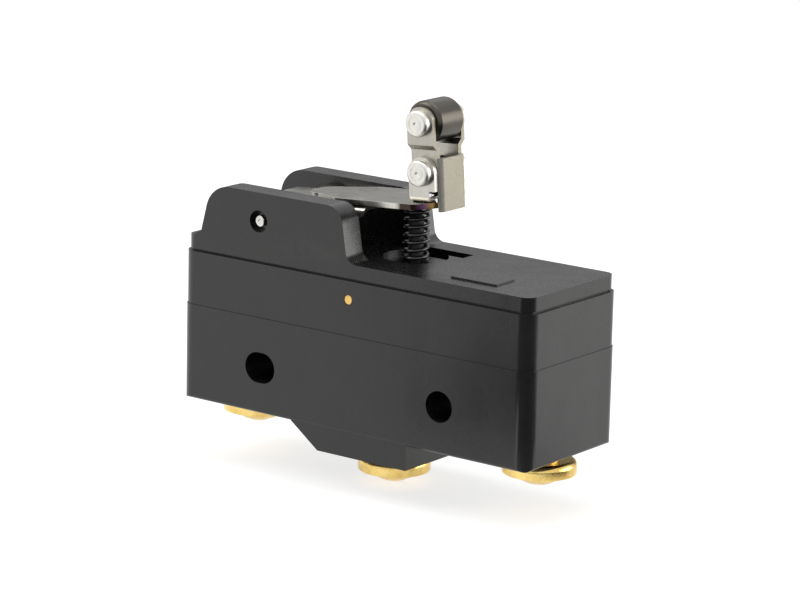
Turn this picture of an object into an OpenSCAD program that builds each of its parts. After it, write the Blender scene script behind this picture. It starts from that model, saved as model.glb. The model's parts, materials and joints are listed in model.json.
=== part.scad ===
// Snap-action lever switch with a one-way roller, screw terminals under the case.
// Millimetres. X runs along the case, Y through its width, Z up to the roller.
// Drawn from the middle of the case's underside; in_place() then moves the origin
// to the round mounting hole's axis.

/* [Case] */
// Length of the case
case_l = 49.2; // [48.5:0.1:54]
// Width of the case
case_w = 17.45; // [16.8:0.05:20]
// Radius of the case's upright corners
corner_r = 1.75; // [1:0.05:2.5]
// Radius of the lower housing's bottom edges
foot_r = 0.5; // [0.3:0.05:0.9]
// Height of the lower housing
base_h = 11.26; // [11:0.05:12.5]
// Height of the upper housing
upper_h = 6.29; // [6.2:0.05:7.5]
// Thickness of the cover's deck plate
deck_t = 1.84; // [1.6:0.05:2.6]
// Wall of both housings
wall = 1.9; // [1.5:0.1:2.1]
// Step between the lower and the upper housing's faces
seam_step = 0.1; // [0.05:0.01:0.2]
// Set-back of the cover from the housing's face
cover_inset = 0.39; // [0.2:0.01:0.6]
// Height and depth of the shadow groove under the cover
reveal = 0.25; // [0.15:0.01:0.4]

/* [Mounting holes] */
// Distance between the two mounting holes
hole_pitch = 25.4; // [25:0.1:26]
// Radius of the mounting holes
hole_r = 1.79; // [1.6:0.01:1.9]
// Extra length of the slotted hole
slot_extra = 0.7; // [0.4:0.1:1]
// Height of the holes above the case's underside
hole_z = 5.42; // [5:0.02:5.8]

/* [Boss under the middle terminal] */
// Depth of the boss
boss_drop = 2.8; // [1.5:0.1:4]
// Reach of the boss left of the middle terminal, at its foot
boss_left_reach = 8.4; // [7.5:0.1:9]
// Reach of the boss right of the middle terminal
boss_right_reach = 7.95; // [6:0.05:8.5]
// Run of the boss's sloping end
boss_slope = 3.85; // [2:0.05:4.5]
// Set-back of the boss from the housing's faces
boss_inset = 0.12; // [0.05:0.01:0.4]

/* [Terminals] */
// Distance from the case's left end to the common terminal
terminal_left = 4.8; // [4.6:0.05:5]
// Distance from the case's right end to the closed side's terminal
terminal_right = 4.2; // [4.1:0.05:4.6]
// Radius of the brass inserts
insert_r = 2.3; // [2.2:0.05:2.5]
// How far an insert stands out of the plastic
insert_proud = 0.75; // [0.3:0.05:1.2]
// Radius of the screws' shanks
shank_r = 1.55; // [1.3:0.05:1.7]
// Depth of an insert's threaded hole
thread_depth = 6.2; // [5:0.1:6.6]
// Radius of the cup washers
washer_r = 4.2; // [3.8:0.05:4.4]
// Height of the cup washers
washer_t = 1.6; // [1.4:0.05:2]
// Wall of the cup washers
washer_wall = 0.7; // [0.5:0.05:0.9]
// Radius of the screw heads
head_r = 3.2; // [2.8:0.05:3.4]
// Height of the screw heads' domes
head_dome = 1.5; // [1:0.05:2]
// Width of the screwdriver slots
slot_w = 1.1; // [0.8:0.05:1.4]
// Depth of the screwdriver slots
slot_d = 1; // [0.6:0.05:1.2]
// How far the middle screw is backed out
mid_backout = 0.7; // [0:0.05:0.9]

/* [Ears] */
// Thickness of the ears
ear_t = 3; // [2.4:0.05:3.2]
// Height of the ears above the deck
ear_h = 6.29; // [6:0.05:7.5]
// Distance from the case's left end to the ears' left edge, at the deck
ear_left_in = 2.45; // [2.2:0.05:3.5]
// Length of the ears at the deck
ear_len = 21.43; // [20:0.01:22]
// Lean of the left edge from upright
lean_left = 14.1; // [8:0.1:18]
// Lean of the right edge from upright
lean_right = 9.65; // [5:0.05:14]
// Radius of the ears' upper left corner
ear_r_left = 3.37; // [2:0.01:4]
// Radius of the ears' upper right corner
ear_r_right = 2.2; // [1.5:0.05:3]
// Radius of the fillet between the right edge and the deck
ear_fillet = 1.5; // [0.8:0.05:2]
// Length of the sloping foot left of the ears
foot_run = 1.25; // [0.6:0.05:1.4]
// Height of the sloping foot
foot_rise = 0.68; // [0.4:0.02:1]

/* [Lever hinge] */
// Distance from the case's left end to the pin
pin_in = 11.1; // [10.6:0.05:11.6]
// Height of the pin above the deck
pin_above_deck = 2.96; // [2.8:0.02:3.2]
// Radius of the pin
pin_r = 0.65; // [0.5:0.01:0.75]
// Radius of the pin's counterbore in the ears
counterbore_r = 1.27; // [1.1:0.01:1.5]
// Depth of the counterbore
counterbore_d = 0.9; // [0.5:0.05:1.2]
// Radius of the bosses on the ears' inner faces
ear_boss_r = 2.4; // [2:0.05:2.6]
// Running clearance of pins and rollers, on the radius
running = 0.04; // [0.02:0.01:0.08]
// Clearance of fixed pins, on the radius
seat = 0.015; // [0.01:0.005:0.03]
// Tilt of the lever at rest, right end up
rest_tilt = 4; // [3:0.25:5]

/* [Lever] */
// Sheet thickness of the lever leaf
leaf_t = 0.65; // [0.55:0.01:0.75]
// Height of the leaf's top above the pin's axis
leaf_top = 2.7; // [2.65:0.01:2.9]
// Width of the leaf and the channel
leaf_w = 8.54; // [8:0.02:9]
// Reach of the leaf's tip from the pin's axis
leaf_tip = 20.93; // [20.4:0.01:21.6]
// Radius of the leaf's rounded tip, seen from above
leaf_tip_r = 4.95; // [4.7:0.05:6]
// Place of the leaf's left end from the pin's axis
leaf_tail = 1.75; // [1:0.05:2.4]
// Half the width of the leaf's narrow left end
leaf_tail_r = 2.5; // [2:0.05:3]
// Place where the leaf has reached its full width
leaf_shoulder = 7.9; // [7:0.1:9]
// Sheet thickness of the hinge channel
channel_t = 0.65; // [0.55:0.01:0.75]
// Reach of the channel left of the pin's axis
channel_left = 3.4; // [3:0.05:3.8]
// Reach of the channel right of the pin's axis
channel_right = 12.3; // [11.5:0.05:13]
// Outer radius of the channel's folds
channel_fold_r = 1; // [0.8:0.05:1.4]
// Radius of the channel's eyes round the pin
channel_eye_r = 1.7; // [1.4:0.05:1.9]
// Height of the flanges' lower edge above the pin's axis
flange_up = 0.85; // [0.6:0.05:1]
// Length of the channel's guide tabs
tab_l = 3.9; // [3:0.1:4.5]
// Depth of the channel's guide tabs below the leaf's top
tab_drop = 2.17; // [1.9:0.01:2.6]

/* [Roller bracket and arm] */
// Sheet thickness of the bracket and the arm
fold_t = 0.6; // [0.5:0.01:0.65]
// Width over the bracket's ears
bracket_w = 5.94; // [5.7:0.02:6.4]
// Half the length of the bracket along the lever
bracket_r = 1.77; // [1.65:0.01:1.8]
// Outer radius of the bracket's folds
bracket_fold_r = 0.8; // [0.7:0.05:1]
// Height of the arm's rivet above the leaf's top
rivet_up = 3.39; // [3.3:0.01:3.8]
// Distance from the arm's rivet to the roller's axle
arm_len = 5.55; // [5.45:0.01:6]
// Distance from the arm's rivet to the web's outer face
web_reach = 2.31; // [2.3:0.01:2.4]
// Gap between the leaf's tip and the web, the arm's stop
stop_gap = 0.04; // [0.02:0.01:0.06]
// Length of the web above the arm's rivet
web_up = 1.6; // [1.3:0.05:1.8]
// Length of the web below the leaf's top
web_down = 1; // [0.7:0.05:1.2]
// Side clearance between the arm and the bracket's ears
arm_gap = 0.05; // [0.03:0.01:0.1]
// Height of the arm's joggle above its rivet
joggle_up = 2.5; // [2.4:0.05:2.6]
// Radius of both rivets' shanks
rivet_r = 0.9; // [0.8:0.01:0.95]
// Radius of both rivets' heads
rivet_head_r = 1.5; // [1.3:0.02:1.6]
// Height of both rivets' heads
rivet_head_t = 0.85; // [0.6:0.05:1]

/* [Roller] */
// Radius of the roller
roller_r = 2.41; // [2.3:0.01:2.5]
// Side clearance of the roller in the arm
roller_gap = 0.09; // [0.05:0.01:0.2]
// Chamfer of the roller's rims
roller_chamfer = 0.35; // [0.25:0.01:0.5]

/* [Springs] */
// Wire radius of the lever's spring
coil_wire_r = 0.21; // [0.16:0.01:0.24]
// Outer radius of the lever's spring at the deck
coil_r_low = 1.68; // [1.6:0.01:1.9]
// Outer radius of the lever's spring at the lever
coil_r_high = 1.5; // [1.45:0.01:1.7]
// Turns of the lever's spring
coil_turns = 7.5; // [5.5:0.5:8.5]
// Lean of the spring's top end towards the roller
coil_lean = 0.25; // [0:0.05:0.3]
// Radius of the round seat in the deck
coil_seat_r = 3.75; // [3:0.05:4]
// Depth of the round seat
coil_seat_d = 0.55; // [0.3:0.05:0.7]
// Wire radius of the arm's spring
twist_wire_r = 0.25; // [0.18:0.01:0.26]
// Turns of the arm's spring
twist_turns = 4; // [3:1:5]

/* [Plunger] */
// Distance from the case's middle to the plunger
plunger_off = 2.62; // [2.5:0.02:2.8]
// Radius of the plunger's rod
rod_r = 0.85; // [0.7:0.01:0.9]
// Height of the rod's tip above the deck at rest
rod_up = 4.95; // [4.2:0.05:4.95]
// Radius of the plunger's neck inside the case
neck_r = 2.2; // [1.8:0.05:2.25]
// Radius of the plunger's collar
collar_r = 3.2; // [3:0.05:3.3]
// Thickness of the collar
collar_t = 1.15; // [0.9:0.05:1.3]
// Wall of the guide block beside the collar's bore
guide_wall = 1.5; // [1.2:0.05:1.6]
// Radius of the brass cross pin that keeps the collar in
cross_pin_r = 0.55; // [0.45:0.01:0.6]
// Height of the cross pin above the parting line of the housings
cross_pin_up = 4.15; // [4.1:0.01:4.4]

/* [Contacts] */
// Depth of the cavity's floor below the parting line of the housings
cavity_d = 2.86; // [2.6:0.02:3.1]
// Thickness of the upper housing's roof
roof_t = 1.65; // [1.2:0.05:1.8]
// Height of the plunger's guide above the parting line
guide_up = 2.2; // [1.9:0.05:2.4]
// Height of the snap blade above the parting line
blade_up = 0.74; // [0.6:0.02:0.9]
// Thickness of the brass strips
strip_t = 0.7; // [0.5:0.05:0.8]
// Width of the brass strips
strip_w = 6; // [5:0.1:7]
// Thickness of the snap blade
blade_t = 0.25; // [0.2:0.01:0.3]
// Width of the snap blade
blade_w = 6.4; // [6:0.1:7.5]
// Radius of the contacts
contact_r = 1.5; // [1.2:0.05:1.7]
// Height of each contact
contact_t = 0.8; // [0.6:0.05:0.9]
// Radius of the moving contact's shank
contact_shank_r = 0.7; // [0.5:0.05:0.9]
// Distance from the closed side's terminal back to the contacts
contact_back = 6.5; // [6.4:0.05:7]
// Distance from the common terminal to the blade's hinge
anchor_ahead = 2.8; // [2.7:0.05:3.2]
// Thickness of the anchor's upright
anchor_w = 1.4; // [1.2:0.05:1.5]
// Radius of the blade's rolled end
roll_r = 0.35; // [0.3:0.01:0.4]
// How far the strips pass their terminals
strip_over = 2.1; // [2:0.05:2.2]
// Gap that the moving contact crosses
contact_gap = 1; // [0.97:0.01:1.2]
// Gap between resting contacts and between the plunger and the blade
touch_gap = 0.05; // [0.03:0.01:0.07]

/* [Deck] */
// Length of the raised pad on the deck
pad_l = 6.2; // [4:0.05:8]
// Width of the raised pad
pad_w = 3.5; // [2:0.05:4]
// Height of the raised pad
pad_h = 0.2; // [0.1:0.01:0.3]
// Distance from the case's right end to the pad
pad_in = 6.6; // [3:0.1:8]
// Distance from the cover's front face to the pad
pad_front = 2.38; // [1:0.02:4]
// Length of the pocket behind the spring
pocket_l = 11; // [8:0.1:12]
// Width of the pocket
pocket_w = 2.14; // [1.5:0.02:2.2]
// Depth of the pocket
pocket_d = 1.1; // [0.6:0.05:1.2]
// Distance from the plunger to the pocket's right end
pocket_ahead = 4.45; // [4:0.05:5.5]
// Distance from the back ear's inner face to the pocket
pocket_back = 0.3; // [0.15:0.05:0.6]

/* [Hidden] */
$fn = 64;

// How far a cut runs past what it cuts, and how deep joined pieces overlap
past = 1;
join = 0.3;

// Heights of the case's floors and faces
upper_z = base_h;
cover_z = base_h + upper_h;
deck_z = cover_z + deck_t;
cavity_top = cover_z - roof_t;
guide_z = upper_z + guide_up;
floor_z = upper_z - cavity_d;

// Cover, ears and hinge
cover_w = case_w - 2 * cover_inset;
ear_in = cover_w / 2 - ear_t;
ear_top = deck_z + ear_h;
ear_left = ear_left_in - case_l / 2;
ear_right = ear_left + ear_len;
ear_boss_gap = 0.08;
pin_x = pin_in - case_l / 2;
pin_z = deck_z + pin_above_deck;
channel_top = leaf_top - leaf_t;
lip_gap = 0.08;
lip_t = 0.9;
lip_h = 0.8;

// Roller group, measured from the pin's axis along the tilted lever
rivet_u = leaf_tip + stop_gap + fold_t - web_reach;
rivet_v = leaf_top + rivet_up;
axle_v = rivet_v + arm_len;
arm_out = bracket_w / 2 - fold_t - arm_gap;
arm_in = arm_out - fold_t;
head_in = bracket_w / 2;
roller_half = bracket_w / 2 - fold_t - roller_gap;
fork_r = bracket_r + 0.03;
joggle_rise = 0.6;
notch_u = 1;
notch_h = 0.7;
bracket_back = 0.05;

// Terminals
terminal_x = [terminal_left - case_l / 2, (terminal_left - terminal_right) / 2,
              case_l / 2 - terminal_right];
insert_low = [-insert_proud, -boss_drop - insert_proud, -insert_proud];
backout = [0, mid_backout, 0];
spigot_r = 1.2;
peen_r = 1.9;
peen_t = 0.5;
strip_top = floor_z + strip_t;
boss_left = terminal_x[1] - boss_left_reach;
boss_right = terminal_x[1] + boss_right_reach;

// Plunger and contacts
plunger_x = plunger_off;
cross_pin_x = plunger_x - neck_r - cross_pin_r - 0.1;
cross_pin_z = upper_z + cross_pin_up;
collar_top = cross_pin_z - cross_pin_r - 0.1;
collar_z = collar_top - collar_t;
blade_z = upper_z + blade_up;
nose_z = blade_z + blade_t + touch_gap;
nose_r = 0.9;
anchor_x = terminal_x[0] + anchor_ahead;
contact_x = terminal_x[2] - contact_back;
blade_tip = contact_x + contact_r + 0.6;
post_x = terminal_x[2] - peen_r - 0.2;
closed_z = blade_z + blade_t + contact_t + touch_gap;

// ---- frames and helpers ----

// From the middle of the case's underside to the round mounting hole's axis
module in_place() {
    translate([-hole_pitch / 2, 0, -hole_z]) children();
}

// The lever's own frame: origin on the pin's axis, tilted as the lever rests
module on_lever() {
    in_place() translate([pin_x, 0, pin_z]) rotate([0, -rest_tilt, 0]) children();
}

// An outline drawn in X and Z, as thick as w across the case
module across(w) {
    rotate([90, 0, 0]) linear_extrude(height = w, center = true) children();
}

// An outline drawn in Y and Z, swept from x0 to x1
module along(x0, x1) {
    translate([x0, 0, 0]) rotate([90, 0, 90]) linear_extrude(height = x1 - x0) children();
}

// A round bar across the case
module bar(r, w) {
    rotate([90, 0, 0]) cylinder(r = r, h = w, center = true);
}

// A rectangle with round corners, centred
module round_rect(l, w, r) {
    square([l - 2 * r, w], center = true);
    square([l, w - 2 * r], center = true);
    for (sx = [-1, 1], sy = [-1, 1])
        translate([sx * (l / 2 - r), sy * (w / 2 - r)]) circle(r = r);
}

// A box from x0 to x1, as wide as w about the middle, from z0 to z1
module block(x0, x1, w, z0, z1) {
    translate([x0, -w / 2, z0]) cube([x1 - x0, w, z1 - z0]);
}

// A round wire along a list of points, each with the direction that stays across it
module wire(path, up, r, sides = 8) {
    n = len(path);
    rings = [for (i = [0 : n - 1])
        let (t = path[min(i + 1, n - 1)] - path[max(i - 1, 0)],
             s = cross(up, t), a = s / norm(s), c = cross(t, a), b = c / norm(c))
        for (k = [0 : sides - 1]) let (w = 360 * k / sides)
            path[i] + r * cos(w) * a + r * sin(w) * b];
    walls = [for (i = [0 : n - 2], k = [0 : sides - 1])
        let (p = i * sides, m = (k + 1) % sides)
        [p + k, p + m, p + sides + m, p + sides + k]];
    ends = [[for (k = [sides - 1 : -1 : 0]) k],
            [for (k = [0 : sides - 1]) (n - 1) * sides + k]];
    polyhedron(points = rings, faces = concat(walls, ends), convexity = 10);
}

// ---- case ----

// Lower housing: cavity above, mounting holes through, boss below, seats for the inserts
module base_housing() {
    in_place() color("dimgray") difference() {
        union() {
            intersection() {
                linear_extrude(height = base_h) round_rect(case_l, case_w, corner_r);
                translate([0, 0, base_h / 2 + foot_r]) across(case_w)
                    round_rect(case_l, base_h + 2 * foot_r, foot_r);
                translate([0, 0, base_h / 2 + foot_r]) along(-case_l / 2, case_l / 2)
                    round_rect(case_w, base_h + 2 * foot_r, foot_r);
            }
            across(case_w - 2 * boss_inset) polygon([
                [boss_left - 0.5, 0.5], [boss_left, 0], [boss_left + boss_slope, -boss_drop],
                [boss_right, -boss_drop], [boss_right, 0.5]]);
        }
        translate([0, 0, floor_z]) linear_extrude(height = base_h)
            round_rect(case_l - 2 * wall, case_w - 2 * wall, 1);
        translate([hole_pitch / 2, 0, hole_z]) bar(hole_r, case_w + 2);
        translate([-hole_pitch / 2, 0, hole_z]) {
            for (s = [-1, 1]) translate([s * slot_extra / 2, 0, 0]) bar(hole_r, case_w + 2);
            block(-slot_extra / 2, slot_extra / 2, case_w + 2, -hole_r, hole_r);
        }
        for (x = terminal_x)
            translate([x, 0, -boss_drop - 1]) cylinder(r = insert_r + seat, h = boss_drop + base_h);
    }
}

// Upper housing: cavity below, guide for the plunger, lip that keys into the lower one
module upper_housing() {
    l = case_l - 2 * seam_step;
    w = case_w - 2 * seam_step;
    in_place() color("dimgray") difference() {
        union() {
            translate([0, 0, upper_z]) linear_extrude(height = upper_h)
                round_rect(l, w, corner_r - seam_step);
            translate([0, 0, upper_z - lip_h]) linear_extrude(height = lip_h + 0.5)
                round_rect(case_l - 2 * wall - 2 * lip_gap, case_w - 2 * wall - 2 * lip_gap, 1 - lip_gap);
        }
        difference() {
            translate([0, 0, upper_z - 2]) linear_extrude(height = cavity_top - upper_z + 2)
                round_rect(case_l - 2 * (wall + lip_gap + lip_t), case_w - 2 * (wall + lip_gap + lip_t), 0.6);
            block(plunger_x - collar_r - guide_wall, plunger_x + collar_r + guide_wall, case_w,
                  guide_z, cavity_top + 1);
        }
        translate([plunger_x, 0, upper_z]) cylinder(r = collar_r + 0.1, h = cavity_top - upper_z + 0.9);
        translate([plunger_x, 0, upper_z]) cylinder(r = rod_r + 0.15, h = upper_h + 1);
        translate([cross_pin_x, 0, cross_pin_z]) bar(cross_pin_r + seat, case_w + 2);
    }
}

// Side outline of the deck plate and the ears, with round upper corners and a filleted foot
module cover_outline() {
    bite = 0.004;
    root = deck_z - deck_t / 2;
    cl = [ear_left + (ear_r_left + (ear_h - ear_r_left) * sin(lean_left)) / cos(lean_left),
          ear_top - ear_r_left];
    cr = [ear_right - (ear_r_right + (ear_h - ear_r_right) * sin(lean_right)) / cos(lean_right),
          ear_top - ear_r_right];
    cf = [ear_right + ear_fillet * (1 - sin(lean_right)) / cos(lean_right), deck_z + ear_fillet];
    tf = cf - ear_fillet * [cos(lean_right), sin(lean_right)];
    knee = [ear_left + foot_rise * tan(lean_left), deck_z + foot_rise];
    translate([-case_l / 2, cover_z + reveal]) square([case_l, deck_t - reveal]);
    polygon([[knee[0] - foot_run, root], [knee[0] - foot_run, deck_z], knee,
             cl + ear_r_left * [-cos(lean_left), sin(lean_left)], [cl[0], ear_top],
             [cr[0], ear_top], cr + ear_r_right * [cos(lean_right), sin(lean_right)],
             [ear_right + (deck_z - root) * tan(lean_right), root]]);
    translate(cl) circle(r = ear_r_left - bite);
    translate(cr) circle(r = ear_r_right - bite);
    difference() {
        polygon([tf - [0.3, 0], tf, [cf[0], deck_z], [cf[0], root], [ear_right - 0.5, root]]);
        translate(cf) circle(r = ear_fillet + bite);
    }
}

// Top cover: deck plate with a shadow groove, two ears, spring seat and pin holes
module top_cover() {
    boss_in = leaf_w / 2 + ear_boss_gap;
    boss_w = ear_in + 0.5 - boss_in;
    in_place() color("dimgray") difference() {
        union() {
            translate([0, 0, cover_z]) linear_extrude(height = reveal + 0.2)
                round_rect(case_l - 2 * (cover_inset + reveal), cover_w - 2 * reveal,
                           corner_r - cover_inset - reveal);
            difference() {
                intersection() {
                    translate([0, 0, cover_z]) linear_extrude(height = ear_top)
                        round_rect(case_l - 2 * cover_inset, cover_w, corner_r - cover_inset);
                    across(case_w) cover_outline();
                }
                block(-case_l, case_l, 2 * ear_in, deck_z, ear_top + 1);
            }
            for (s = [-1, 1])
                translate([pin_x, s * (boss_in + boss_w / 2), pin_z]) bar(ear_boss_r, boss_w);
            translate([case_l / 2 - pad_in - pad_l / 2, pad_front + (pad_w - cover_w) / 2, deck_z - join])
                linear_extrude(height = join + pad_h) round_rect(pad_l, pad_w, 0.15);
        }
        translate([pin_x, 0, pin_z]) bar(pin_r + seat, cover_w + 1);
        for (s = [-1, 1])
            translate([pin_x, s * cover_w / 2, pin_z]) bar(counterbore_r, 2 * counterbore_d);
        translate([plunger_x, 0, deck_z - coil_seat_d]) cylinder(r = coil_seat_r, h = coil_seat_d + 1);
        translate([plunger_x, 0, cover_z - 1]) cylinder(r = rod_r + 0.05, h = deck_t + 2);
        translate([plunger_x + pocket_ahead - pocket_l, ear_in - pocket_back - pocket_w, deck_z - pocket_d])
            cube([pocket_l, pocket_w, pocket_d + past]);
    }
}

// Brass pin across the upper housing, over the plunger's collar
module cross_pin() {
    in_place() color("gold") translate([cross_pin_x, 0, cross_pin_z])
        bar(cross_pin_r, case_w - 2 * seam_step);
}

// Plunger: rod through the deck, neck beside the cross pin, collar under it, round nose
module plunger() {
    neck_top = cavity_top + 0.8;
    in_place() color("black") translate([plunger_x, 0, 0]) rotate_extrude() union() {
        translate([0, neck_top - 0.5]) square([rod_r, deck_z + rod_up - 0.3 - neck_top + 0.5]);
        polygon([[0, deck_z + rod_up - 0.35], [rod_r, deck_z + rod_up - 0.35],
                 [rod_r - 0.3, deck_z + rod_up], [0, deck_z + rod_up]]);
        translate([0, collar_z + 0.2]) square([neck_r, neck_top - collar_z - 0.2]);
        translate([0, collar_z]) square([collar_r, collar_t]);
        translate([0, nose_z + nose_r]) square([nose_r, collar_z - nose_z]);
        intersection() {
            translate([0, nose_z + nose_r]) circle(r = nose_r);
            translate([0, nose_z - 1]) square([nose_r, nose_r + 1.5]);
        }
    }
}

// ---- terminals ----

// Brass insert moulded into the base, threaded from below, with a spigot peened over its strip
module insert(i) {
    in_place() color("goldenrod") translate([terminal_x[i], 0, 0]) difference() {
        union() {
            translate([0, 0, insert_low[i]]) cylinder(r = insert_r, h = floor_z - insert_low[i]);
            translate([0, 0, floor_z - join]) cylinder(r = spigot_r, h = join + strip_t);
            translate([0, 0, strip_top]) cylinder(r = peen_r, h = peen_t);
        }
        translate([0, 0, insert_low[i] - past]) cylinder(r = shank_r + 0.05, h = thread_depth + past);
    }
}

// Screw with a domed, slotted head below its cup washer
module screw(i) {
    seat_z = insert_low[i] - washer_wall - backout[i];
    dome_r = (head_r * head_r + head_dome * head_dome) / (2 * head_dome);
    land = washer_t - washer_wall - 0.1;
    in_place() color("gold") translate([terminal_x[i], 0, seat_z]) difference() {
        rotate_extrude() union() {
            square([shank_r, thread_depth - 0.6 + washer_wall]);
            translate([0, -land]) square([head_r, land]);
            intersection() {
                translate([0, -land - head_dome + dome_r]) circle(r = dome_r);
                translate([0, -land - head_dome]) square([head_r, head_dome]);
            }
        }
        block(-head_r - 1, head_r + 1, slot_w, -land - head_dome - 1, -land - head_dome + slot_d);
    }
}

// Cup washer: flat ring with a rim turned down round the screw's head
module washer(i) {
    top = insert_low[i] - backout[i];
    in_place() color("gold") translate([terminal_x[i], 0, top - washer_t]) difference() {
        rotate_extrude() union() {
            translate([0, washer_t - washer_wall]) square([washer_r - washer_wall, washer_wall]);
            translate([washer_r - washer_wall, 0]) square([washer_wall, washer_t - washer_wall]);
            translate([washer_r - washer_wall, washer_t - washer_wall]) intersection() {
                circle(r = washer_wall);
                square(washer_wall);
            }
        }
        translate([0, 0, -1]) cylinder(r = shank_r + 0.08, h = washer_t + 2);
    }
}

// ---- contacts inside the case ----

// A flat brass strip with a round hole for its insert's spigot
module foot_strip(i, x0, x1) {
    difference() {
        block(x0, x1, strip_w, floor_z, strip_top);
        translate([terminal_x[i], 0, floor_z - past]) cylinder(r = spigot_r + seat, h = strip_t + 2 * past);
    }
}

// Anchor on the common insert: a strip with an upright, grooved for the blade's rolled end
module blade_anchor() {
    in_place() color("goldenrod") difference() {
        union() {
            foot_strip(0, terminal_x[0] - strip_over, anchor_x + anchor_w / 2);
            block(anchor_x - anchor_w / 2, anchor_x + anchor_w / 2, strip_w,
                  strip_top - join, blade_z - touch_gap);
        }
        translate([anchor_x, 0, blade_z + blade_t / 2]) bar(roll_r + running, strip_w + 2 * past);
    }
}

// Snap blade: spring leaf with a rolled end, two long windows and a tapered tip
module snap_blade() {
    neck_x = contact_x - 4 * contact_r;
    win_l = neck_x - anchor_x - 8 * anchor_w / 2;
    win_w = blade_w / 9;
    tip_w = contact_r + 0.6;
    in_place() color("peru") union() {
        translate([0, 0, blade_z]) linear_extrude(height = blade_t) difference() {
            union() {
                translate([(anchor_x + neck_x) / 2, 0]) square([neck_x - anchor_x, blade_w], center = true);
                polygon([[neck_x, -blade_w / 2], [blade_tip - 0.5, -tip_w], [blade_tip, 0.5 - tip_w],
                         [blade_tip, tip_w - 0.5], [blade_tip - 0.5, tip_w], [neck_x, blade_w / 2]]);
            }
            for (s = [-1, 1]) translate([(anchor_x + neck_x) / 2 + anchor_w / 2, s * blade_w / 4])
                round_rect(win_l, win_w, win_w / 2.5);
            translate([contact_x, 0]) circle(r = contact_shank_r + seat);
        }
        translate([anchor_x, 0, blade_z + blade_t / 2]) bar(roll_r, blade_w);
    }
}

// Moving contact, headed on both sides of the blade
module moving_contact() {
    in_place() color("silver") translate([contact_x, 0, blade_z]) union() {
        translate([0, 0, -contact_t]) cylinder(r = contact_r, h = contact_t);
        translate([0, 0, -join]) cylinder(r = contact_shank_r, h = blade_t + 2 * join);
        translate([0, 0, blade_t]) cylinder(r = contact_r, h = contact_t);
    }
}

// Strip of the normally open side, lying on the cavity's floor
module open_strip() {
    in_place() color("goldenrod") foot_strip(1, terminal_x[1] - strip_over, contact_x + contact_r + 0.5);
}

// Fixed contact of the normally open side
module open_contact() {
    in_place() color("silver") translate([contact_x, 0, strip_top])
        cylinder(r = contact_r, h = blade_z - contact_t - contact_gap - strip_top);
}

// Strip of the normally closed side, folded up beside its insert and back over the moving contact
module closed_strip() {
    over = closed_z + contact_t;
    in_place() color("goldenrod") union() {
        foot_strip(2, post_x - strip_t, terminal_x[2] + strip_over);
        block(post_x - strip_t, post_x, strip_w, strip_top - join, over + strip_t);
        block(contact_x - contact_r - 0.5, post_x, strip_w, over, over + strip_t);
    }
}

// Fixed contact of the normally closed side
module closed_contact() {
    in_place() color("silver") translate([contact_x, 0, closed_z]) cylinder(r = contact_r, h = contact_t);
}

// ---- lever ----

// Steel pin, a little short of the counterbores' floors
module lever_pin() {
    in_place() color("silver") translate([pin_x, 0, pin_z]) bar(pin_r, cover_w - 2 * counterbore_d + 0.5);
}

// Section of a folded channel, open below: w wide outside, top at z1, sides down to z0
module channel_section(w, z0, z1, t, r) {
    difference() {
        translate([0, z0 - 1]) union() {
            translate([-w / 2, 0]) square([w, z1 - z0 + 1 - r]);
            translate([-w / 2 + r, 0]) square([w - 2 * r, z1 - z0 + 1]);
            for (s = [-1, 1]) translate([s * (w / 2 - r), z1 - z0 + 1 - r]) circle(r = r);
        }
        translate([-w / 2 + t, z0 - 2]) square([w - 2 * t, z1 - z0 + 2 - t - (r - t)]);
        translate([-w / 2 + r, z0 - 2]) square([w - 2 * r, z1 - z0 + 2 - t]);
        for (s = [-1, 1]) translate([s * (w / 2 - r), z1 - r]) circle(r = r - t);
        translate([-w, z0 - 3 * past]) square([2 * w, 3 * past]);
    }
}

// Hinge channel: flanges with eyes on the pin, a shallow arch, and guide tabs at the right
module hinge_channel() {
    low = -channel_eye_r;
    tab_z = leaf_top - tab_drop;
    on_lever() color("lightgray") difference() {
        intersection() {
            along(-channel_left, channel_right)
                channel_section(leaf_w, low - 0.5, channel_top, channel_t, channel_fold_r);
            across(leaf_w + 1) union() {
                circle(r = channel_eye_r);
                polygon([[-channel_left, channel_top], [-channel_left, channel_top - 1.3 * channel_t],
                         [-channel_eye_r * 0.94, -channel_eye_r * 0.34], [channel_eye_r * 0.94, -channel_eye_r * 0.34],
                         [2 * channel_eye_r, flange_up], [channel_right - tab_l, flange_up],
                         [channel_right - 0.85 * tab_l, tab_z + 0.12], [channel_right - 0.77 * tab_l, tab_z],
                         [channel_right - 0.31 * tab_l, tab_z], [channel_right - 0.22 * tab_l, tab_z + 0.25],
                         [channel_right, channel_top]]);
            }
            linear_extrude(height = 4 * leaf_w, center = true) union() {
                translate([(channel_right - channel_left) / 2, 0])
                    round_rect(channel_right + channel_left, leaf_w, 0.9);
                translate([0, -leaf_w / 2]) square([channel_right, leaf_w]);
            }
        }
        bar(pin_r + running, leaf_w + 2);
    }
}

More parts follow.
